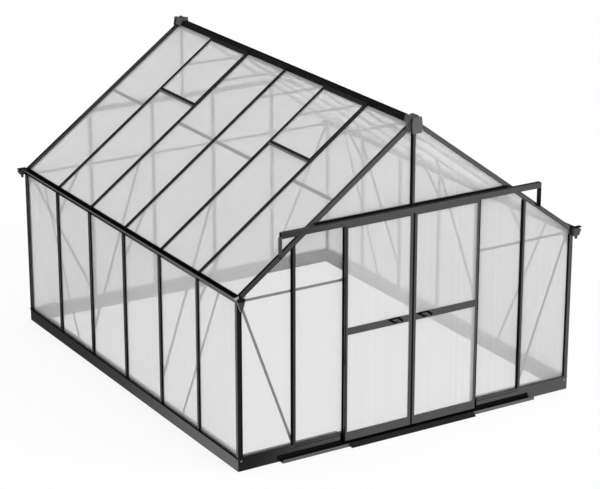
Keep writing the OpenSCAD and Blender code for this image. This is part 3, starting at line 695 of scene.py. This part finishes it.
class GREENHOUSE_OT_handles(bpy.types.Operator):
    """Make the bow handle of each leaf: two black legs, a black strip on the rail between them and a
    coated grip
    """
    bl_idname = "greenhouse.handles"
    bl_label = "Handles"

    def execute(self, context):
        # Leg: a rounded rectangle carried out from the leaf and round a quarter circle towards
        # the other leg. Foot: a circle carried out, a little narrower at the end.
        grip_half, bend = 0.006, 0.012
        turn = np.linspace(0, math.pi / 2, 5)
        for name in ("door_left", "door_right"):
            lo, hi = (np.array(corner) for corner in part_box(name + "_handle"))
            (x, _, z), leaf, front = (lo + hi) / 2, hi[1], lo[1] + grip_half
            half = (hi[0] - lo[0]) / 2 - grip_half
            legs = []
            for end in (-1, 1):
                out = np.column_stack([end * np.cos(turn), -np.sin(turn), 0 * turn])
                centre = np.array([x + end * (half - bend), front + bend, z])
                path = np.vstack([[x + end * half, leaf, z], centre + bend * out,
                                  [x + end * (half - bend - 0.003), front, z]])
                legs.append(sweep(rounded(0.0165, 0.0118, 0.003), path, (0, 0, 1),
                                  np.vstack([[end, 0, 0], out, [0, -1, 0]])))
                foot = [(x + end * half, leaf - rise, z) for rise in (0, 0.0018, 0.003)]
                legs.append(sweep(circle(16), foot, (1, 0, 0), (0, 0, 1),
                                  [0.0105, 0.0105, 0.0085]))
            # Black strip on the rail between the legs.
            legs.append(strip((x - half, leaf - 0.002, z + 0.001),
                              (x + half, leaf - 0.0001, z + 0.015), 0.0006))
            reach = half - bend - 0.002
            grip = sweep(rounded(0.0115, 0.0115, 0.003),
                         [(x - reach, front, z), (x + reach, front, z)], (0, 1, 0), (0, 0, 1))
            legs_piece = piece(name + "_handle_legs", legs, "seal_rubber", name,
                               smooth=True)
            grip_piece = piece(name + "_handle_grip", [grip], "frame_coat", name,
                               smooth=True)
            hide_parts(name + "_handle")
            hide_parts(name + "_handle")
        return {"FINISHED"}


class GREENHOUSE_OT_track_trim(bpy.types.Operator):
    """Make the beads of the bottom track and the cover strip of the top one"""
    bl_idname = "greenhouse.track_trim"
    bl_label = "Track trim"

    def execute(self, context):
        # Beads: a half circle carried along X at two heights, from the ramp to the track's end
        lo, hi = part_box("door_track_bottom")
        ramp = high("threshold_ramp", 0)
        angle = np.linspace(-math.pi / 2, math.pi / 2, 6)
        half_round = 0.0024 * np.column_stack([np.cos(angle), np.sin(angle)])
        beads = []
        for height in (0.009, 0.02):
            for side in (-1, 1):
                path = [(side * (ramp + 0.002), lo[1], height),
                        (side * (hi[0] - 0.001), lo[1], height)]
                beads.append(sweep(half_round, path, (0, -1, 0), (0, 0, 1)))
        piece("bottom_track_beads", beads, "frame_coat", "house")

        lo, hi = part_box("door_track_top")
        cover = strip((lo[0] + 0.002, lo[1] + 0.0008, hi[2] - 0.0005),
                      (hi[0] - 0.002, hi[1] - 0.001, hi[2] + 0.0008), 0.0003)
        piece("track_cover_strip", [cover], "plate_grey_and_painted_stay_light", "house")
        return {"FINISHED"}


class GREENHOUSE_OT_gutter_trim(bpy.types.Operator):
    """Make the light grey strip along the lip of each gutter, a painted highlight, and the rims of
    the outlets
    """
    bl_idname = "greenhouse.gutter_trim"
    bl_label = "Gutter trim"

    def execute(self, context):
        lip = low("gutter_left", 0)
        # Light grey strip high on the gutter lip: painted highlight.
        trim = strip((lip - 0.001, FRONT, EAVE_LOW + 0.046), (lip, BACK, EAVE_LOW + 0.055),
                     0.0005)
        piece("gutter_lip_highlights", both_sides([trim]), "inner_bar_and_highlight_grey", "house")
        rims = []
        for node in ("gutter_outlet_front", "gutter_outlet_back"):
            lo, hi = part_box(node)
            rims.append(strip((lo[0] + 0.0003, lo[1] - 0.001, hi[2] - 0.009),
                              (hi[0] - 0.0003, hi[1] + 0.001, hi[2] + 0.0008), 0.002, 3))
        piece("outlet_rims", rims, "seal_rubber", "house")
        return {"FINISHED"}


class GREENHOUSE_OT_sill_drips(bpy.types.Operator):
    """Make the drip edges along the tops of the base rails, and the black lines in front, which are
    partly joints and partly painted shadow under the sill
    """
    bl_idname = "greenhouse.sill_drips"
    bl_label = "Sill drips"

    def execute(self, context):
        # Drip edge: a sloping triangle with a blunt tip, carried along the rail
        sizes = fittings()
        ring = [(0.0, 0.0075), (0.0, -0.0035), (sizes.drip, -0.0035), (sizes.drip, -0.0025)]
        rear = sweep(ring, [(-WALL, BACK, BASE_TOP), (WALL, BACK, BASE_TOP)],
                     (0, 1, 0), (0, 0, 1))
        left = sweep(ring, [(-WALL, FRONT, BASE_TOP), (-WALL, BACK, BASE_TOP)],
                     (-1, 0, 0), (0, 0, 1))
        piece("sill_drips", [rear] + both_sides([left]), "base_coat", "house")
        # In front the leaves slide past, so only a flat black line shows there: partly a joint,
        # partly painted shadow under the sill.
        seam_and_shadow = strip((sizes.jamb_x + sizes.wing, FRONT - 0.0005, BASE_TOP - 0.02),
                     (sizes.post_x, FRONT + 0.001, BASE_TOP - 0.015), 0.0002)
        piece("sill_seams_and_shadow", both_sides([seam_and_shadow]), "seal_rubber", "house")
        return {"FINISHED"}


class GREENHOUSE_OT_apex_plates(bpy.types.Operator):
    """Make the plates behind the ridge caps, and the black strips beside the caps that paint the
    shade in the gap behind each cap's front plate
    """
    bl_idname = "greenhouse.apex_plates"
    bl_label = "Apex plates"

    def execute(self, context):
        cap_top = high("ridge_cap_front", 2)
        cheek = np.array([(-0.079, -0.009), (-0.03, -0.005), (-0.03, -0.125), (-0.057, -0.123),
                          (-0.072, -0.111), (-0.083, -0.0465)]) + [0, cap_top]
        apex = plate(cheek, FRONT - 0.0002, FRONT - 0.0025)
        piece("apex_plates", [apex, mirrored(mirrored(apex), 1, MIDDLE_Y)], "ridge_cap_grey",
              "house")
        # Black strip in the gap behind a cap's front plate: painted shade.
        neck = strip((-0.0345, low("ridge_cap_front", 1) + 0.0135, cap_top - 0.112),
                     (-0.0325, FRONT - 0.003, cap_top - 0.017), 0.0006)
        piece("cap_gap_shades", both_gables(both_sides([neck])), "seal_rubber", "house")
        return {"FINISHED"}


class GREENHOUSE_OT_rafter_trim(bpy.types.Operator):
    """Make the light grey beads that paint highlight lines on the gable rafters, and their covers and
    linings
    """
    bl_idname = "greenhouse.rafter_trim"
    bl_label = "Rafter trim"

    def execute(self, context):
        # Each is a rounded rectangle carried down the slope: two light grey beads on the front face,
        # which paint highlight lines along it, a cover on the top face of the upper part, and a
        # lining under the rafter.
        on_face, on_top = [0, FRONT - 0.0006, 0], [0, FRONT + 0.0135, 0]
        # Light grey beads on the rafter's front face: painted highlight lines.
        beads = [sloping(roof_point(WALL - 0.03, depth) + on_face,
                         roof_point(0.09, depth) + on_face, 0.0035, 0.002, (0, -1, 0))
                 for depth in (0.005, 0.022)]
        cover = sloping(roof_point(0.1, -0.0002) + on_top, roof_point(1.02, -0.0002) + on_top,
                        0.026, 0.001, ROOF_UP, 0.0003)
        ends = [(-x, FRONT + 0.01, under_rafter(x) - 0.0012) for x in (0.085, WALL - 0.1)]
        lining = sloping(*ends, 0.018, 0.003, ROOF_UP)
        for name, shapes, material, slot in (
                ("rafter_highlight_lines", beads, "inner_bar_and_highlight_grey", "frame_metal"),
                ("rafter_covers", [cover], "plate_grey_and_painted_stay_light", "frame_metal"),
                ("rafter_linings", [lining], "seal_rubber", "black_plastic")):
            piece(name, both_gables(both_sides(shapes)), material, "house")
        return {"FINISHED"}


class GREENHOUSE_OT_corner_plates(bpy.types.Operator):
    """Make the corner plates under the rafter feet, with their folds, and black strips that paint the
    shadow under each gutter end
    """
    bl_idname = "greenhouse.corner_plates"
    bl_label = "Corner plates"

    def execute(self, context):
        # Outlines in X and Z, from the corner of the wall at the height of the gutter's foot
        corner, sheet = np.array([-WALL, EAVE_LOW]), FRONT - 0.0018
        outline = np.array([(0.002, 0.027), (0.03, -0.057), (0.05, -0.061),
                            (0.073, 0.02)]) + corner
        body = plate(outline, FRONT - 0.0001, sheet)
        folds = [sloping((outline[start][0], sheet - 0.001, outline[start][1]),
                         (outline[end][0], sheet - 0.001, outline[end][1]), width, 0.003,
                         (0, -1, 0))
                 for start, end, width in ((0, 1, 0.004), (3, 2, 0.003))]
        # Black strip under the gutter's end: painted shadow.
        gutter_end_shadow = strip((-WALL + 0.002, FRONT - 0.0035, EAVE_LOW + 0.014),
                    (-WALL + 0.073, FRONT, EAVE_LOW + 0.041), 0.0006)
        stop = np.array([(-0.027, 0.059), (0.018, 0.069), (0.018, 0.054), (0, 0.036),
                         (-0.016, 0.041)]) + corner
        wing = np.array([(0.066, 0.039), (0.092, 0.083), (0.086, 0.033)]) + corner
        folds += [plate(wing, FRONT + 0.018, FRONT + 0.0165),
                  plate(stop, FRONT - 0.0002, FRONT - 0.0018)]
        # The front right corner has no plate: its gutter outlet stands there.
        for name, shapes, material in (("corner_plates", [body], "plate_grey_and_painted_stay_light"),
                                       ("corner_plate_folds", folds, "zinc_plate"),
                                       ("gutter_end_shadows", [gutter_end_shadow], "seal_rubber")):
            rear = [mirrored(shape, 1, MIDDLE_Y) for shape in shapes]
            piece(name, shapes + both_sides(rear), material, "house")
        return {"FINISHED"}


class GREENHOUSE_OT_bolts(bpy.types.Operator):
    """Make the domed bolt heads along the base, at the posts and where the straps end"""
    bl_idname = "greenhouse.bolts"
    bl_label = "Bolts"

    def execute(self, context):
        inset, end_step = 0.027, 0.012

        def on_base(x, y, axis):
            """Large head a little under the top of the base rail."""
            return head((x, y, BASE_TOP - inset), axis, fittings().bolt_r, 0.0035)

        def on_strap(x, y, z, axis):
            """Small head on a strap or tie."""
            return head((x, y, z), axis, 0.005, 0.003)

        ends = [on_base(side * (WALL - inset), FRONT, (0, -1, 0)) for side in (-1, 1)]
        rear = [on_base(side * x, FRONT, (0, -1, 0))
                for x in (WALL - inset, 0.5 * BACK_BAY, 1.5 * BACK_BAY) for side in (-1, 1)]
        sides = [on_base(-WALL, y, (-1, 0, 0))
                 for y in (BAR_Y[0] + end_step, *BAR_Y[1:-1], BAR_Y[-1] - end_step)]
        piece("base_bolts", ends, "zinc_plate", "house", smooth=True)
        piece("base_anchor_bolts",
              [mirrored(shape, 1, MIDDLE_Y) for shape in rear] + both_sides(sides),
              "base_coat", "house", smooth=True)

        # Two heads, one over the other, where a strap meets the frame below and above
        straps = []
        for name in ("bracing_front_left", "bracing_front_right"):
            lo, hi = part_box(name)
            straps += [on_strap(x, hi[1], z, (0, 1, 0))
                       for x in (lo[0] + 0.02, hi[0] - 0.02)
                       for z in (lo[2] + 0.016, hi[2] - 0.014)]
        lo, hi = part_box("bracing_left")
        for y in np.linspace(lo[1] + 0.02, hi[1] - 0.02, 5):
            for z in (lo[2] + 0.016, hi[2] - 0.014):
                straps += both_sides([on_strap(hi[0], y, z, (1, 0, 0))])
        tie_z = (low("collar_ties", 2) + high("collar_ties", 2)) / 2
        for y in BAR_Y[[1, 3, 5]] - 0.0015:
            straps += both_sides([on_strap(0.26, y, tie_z, (0, -1, 0))])
            straps.append(on_strap(0.0, y, tie_z, (0, -1, 0)))
        piece("strap_bolts", straps, "zinc_plate", "house", smooth=True)
        return {"FINISHED"}


# ---- Studio ----

def soft_step(tree, value, from_min, from_max, to_min, to_max):
    """A smooth ramp from one value to another while the input goes from one value to another."""
    return add_node(tree, "ShaderNodeMapRange",
                    {"From Min": from_min, "From Max": from_max, "To Min": to_min,
                     "To Max": to_max, "Value": value}, interpolation_type="SMOOTHSTEP")["Result"]


def studio_world(tree):
    """White all round for light and background. Glossy coats mirror a dark room instead, with a
    white wall beyond each soft edge at the sides, and a soft lamp high up in front."""
    way = add_node(tree, "ShaderNodeTexCoord", {})["Generated"]
    way = add_node(tree, "ShaderNodeSeparateXYZ", {"Vector": way})
    spread = maths(tree, "DIVIDE", maths(tree, "ABSOLUTE", way["X"]),
                   maths(tree, "ABSOLUTE", way["Y"]))
    front = soft_step(tree, spread, 0.565, 0.645, 0.03, 1.0)
    back = maths(tree, "MULTIPLY", soft_step(tree, spread, 0.475, 0.56, 0.13, 0.9),
                 soft_step(tree, spread, 0.63, 0.74, 1.0, 0.04))
    behind = maths(tree, "GREATER_THAN", way["Y"], 0.0)
    walls = maths(tree, "ADD", maths(tree, "MULTIPLY", behind, back),
                  maths(tree, "MULTIPLY", maths(tree, "SUBTRACT", 1.0, behind), front))
    below = soft_step(tree, way["Z"], -0.03, 0.04, 1.0, 0.0)
    ceiling = soft_step(tree, way["Z"], 0.36, 0.6, 0.0, 0.15)
    lamp = maths(tree, "MULTIPLY", soft_step(tree, way["Y"], -0.5, -0.2, 1.0, 0.0),
                 soft_step(tree, way["Z"], 0.3, 0.5, 0.0, 0.9))
    room = maths(tree, "ADD", maths(tree, "MULTIPLY", walls, below), ceiling)
    room = maths(tree, "ADD", room, lamp)
    glossy = add_node(tree, "ShaderNodeLightPath", {})["Is Glossy Ray"]
    level = maths(tree, "ADD", maths(tree, "MULTIPLY", glossy, room),
                  maths(tree, "SUBTRACT", 1.0, glossy))
    feed(tree, tree.nodes["Background"].inputs, {"Strength": 1.0, "Color": level})


def studio_floor(colour):
    """Pale floor that keeps the shadow: partly its own white for the rays that only look at it."""
    material, tree, shader = principled(
        "floor_white", {"Roughness": 0.9, "Specular IOR Level": 0.0, "Base Color": (*colour, 1)})
    glow = add_node(tree, "ShaderNodeEmission", {"Strength": 1.0})
    path = add_node(tree, "ShaderNodeLightPath", {})
    seen = maths(tree, "MAXIMUM", path["Is Glossy Ray"], path["Is Transmission Ray"])
    seen = maths(tree, "MAXIMUM", path["Is Camera Ray"], seen)
    mix = add_node(tree, "ShaderNodeMixShader",
                   {"Fac": maths(tree, "MULTIPLY", seen, 0.85), 1: shader.outputs["BSDF"],
                    2: glow["Emission"]})
    feed(tree, tree.nodes["Material Output"].inputs, {"Surface": mix["Shader"]})
    size = 60.0
    mesh = bpy.data.meshes.new("studio_floor")
    mesh.from_pydata([(-size, -size, 0), (size, -size, 0), (size, size, 0), (-size, size, 0)],
                     [], [(0, 1, 2, 3)])
    mesh.materials.append(material)
    floor = bpy.data.objects.new("studio_floor", mesh)
    bpy.context.scene.collection.objects.link(floor)
    floor.location.z = -0.0005
    floor.visible_glossy = False


class GREENHOUSE_OT_stage(bpy.types.Operator):
    """Make the floor, the soft light and the camera"""
    bl_idname = "greenhouse.stage"
    bl_label = "Stage"

    def execute(self, context):
        scene = context.scene
        studio_floor(finish().floor_colour)
        world = bpy.data.worlds.new("studio_world")
        scene.world = world
        world.use_nodes = True
        studio_world(world.node_tree)

        lamp = bpy.data.lights.new("key_softbox", "AREA")
        lamp.energy = 500
        lamp.size = 6
        holder = bpy.data.objects.new("key_softbox", lamp)
        holder.location = (6, -9, 9)
        holder.rotation_euler = (math.radians(50), 0, math.radians(35))
        scene.collection.objects.link(holder)

        eye = bpy.data.cameras.new("view")
        eye.lens = 133.8
        eye.sensor_width = 36
        eye.clip_end = 300
        camera = bpy.data.objects.new("view", eye)
        camera.location = (-9.2201, -15.3714, 7.2933)
        camera.rotation_euler = (math.radians(70.661), 0, math.radians(-31.234))
        scene.collection.objects.link(camera)
        scene.camera = camera
        scene.view_settings.view_transform = "Standard"
        return {"FINISHED"}


class GREENHOUSE_PT_panel(bpy.types.Panel):
    """Lists the greenhouse's steps in the sidebar"""
    bl_idname = "GREENHOUSE_PT_panel"
    bl_label = "Greenhouse"
    bl_space_type = "VIEW_3D"
    bl_region_type = "UI"
    bl_category = "Greenhouse"

    def draw(self, context):
        for settings in (finish(), fittings()):
            for name in settings.__annotations__:
                self.layout.prop(settings, name)
        for operator in OPERATORS:
            self.layout.operator(operator.bl_idname)


OPERATORS = [
    GREENHOUSE_OT_finishes, GREENHOUSE_OT_gable_seals, GREENHOUSE_OT_roof_strips,
    GREENHOUSE_OT_door_seals, GREENHOUSE_OT_handles, GREENHOUSE_OT_track_trim,
    GREENHOUSE_OT_gutter_trim, GREENHOUSE_OT_sill_drips, GREENHOUSE_OT_apex_plates,
    GREENHOUSE_OT_rafter_trim, GREENHOUSE_OT_corner_plates, GREENHOUSE_OT_bolts,
    GREENHOUSE_OT_stage]
CLASSES = [GreenhouseFinish, GreenhouseFittings, *OPERATORS, GREENHOUSE_PT_panel]


def register():
    for item in CLASSES:
        bpy.utils.register_class(item)
    bpy.types.Scene.greenhouse_finish = PointerProperty(type=GreenhouseFinish)
    bpy.types.Scene.greenhouse_fittings = PointerProperty(type=GreenhouseFittings)


def unregister():
    del bpy.types.Scene.greenhouse_fittings
    del bpy.types.Scene.greenhouse_finish
    for item in reversed(CLASSES):
        bpy.utils.unregister_class(item)


def main():
    """Runs every step in order."""
    register()
    for operator in OPERATORS:
        group, name = operator.bl_idname.split(".")
        getattr(getattr(bpy.ops, group), name)()


if __name__ == "__main__":
    main()
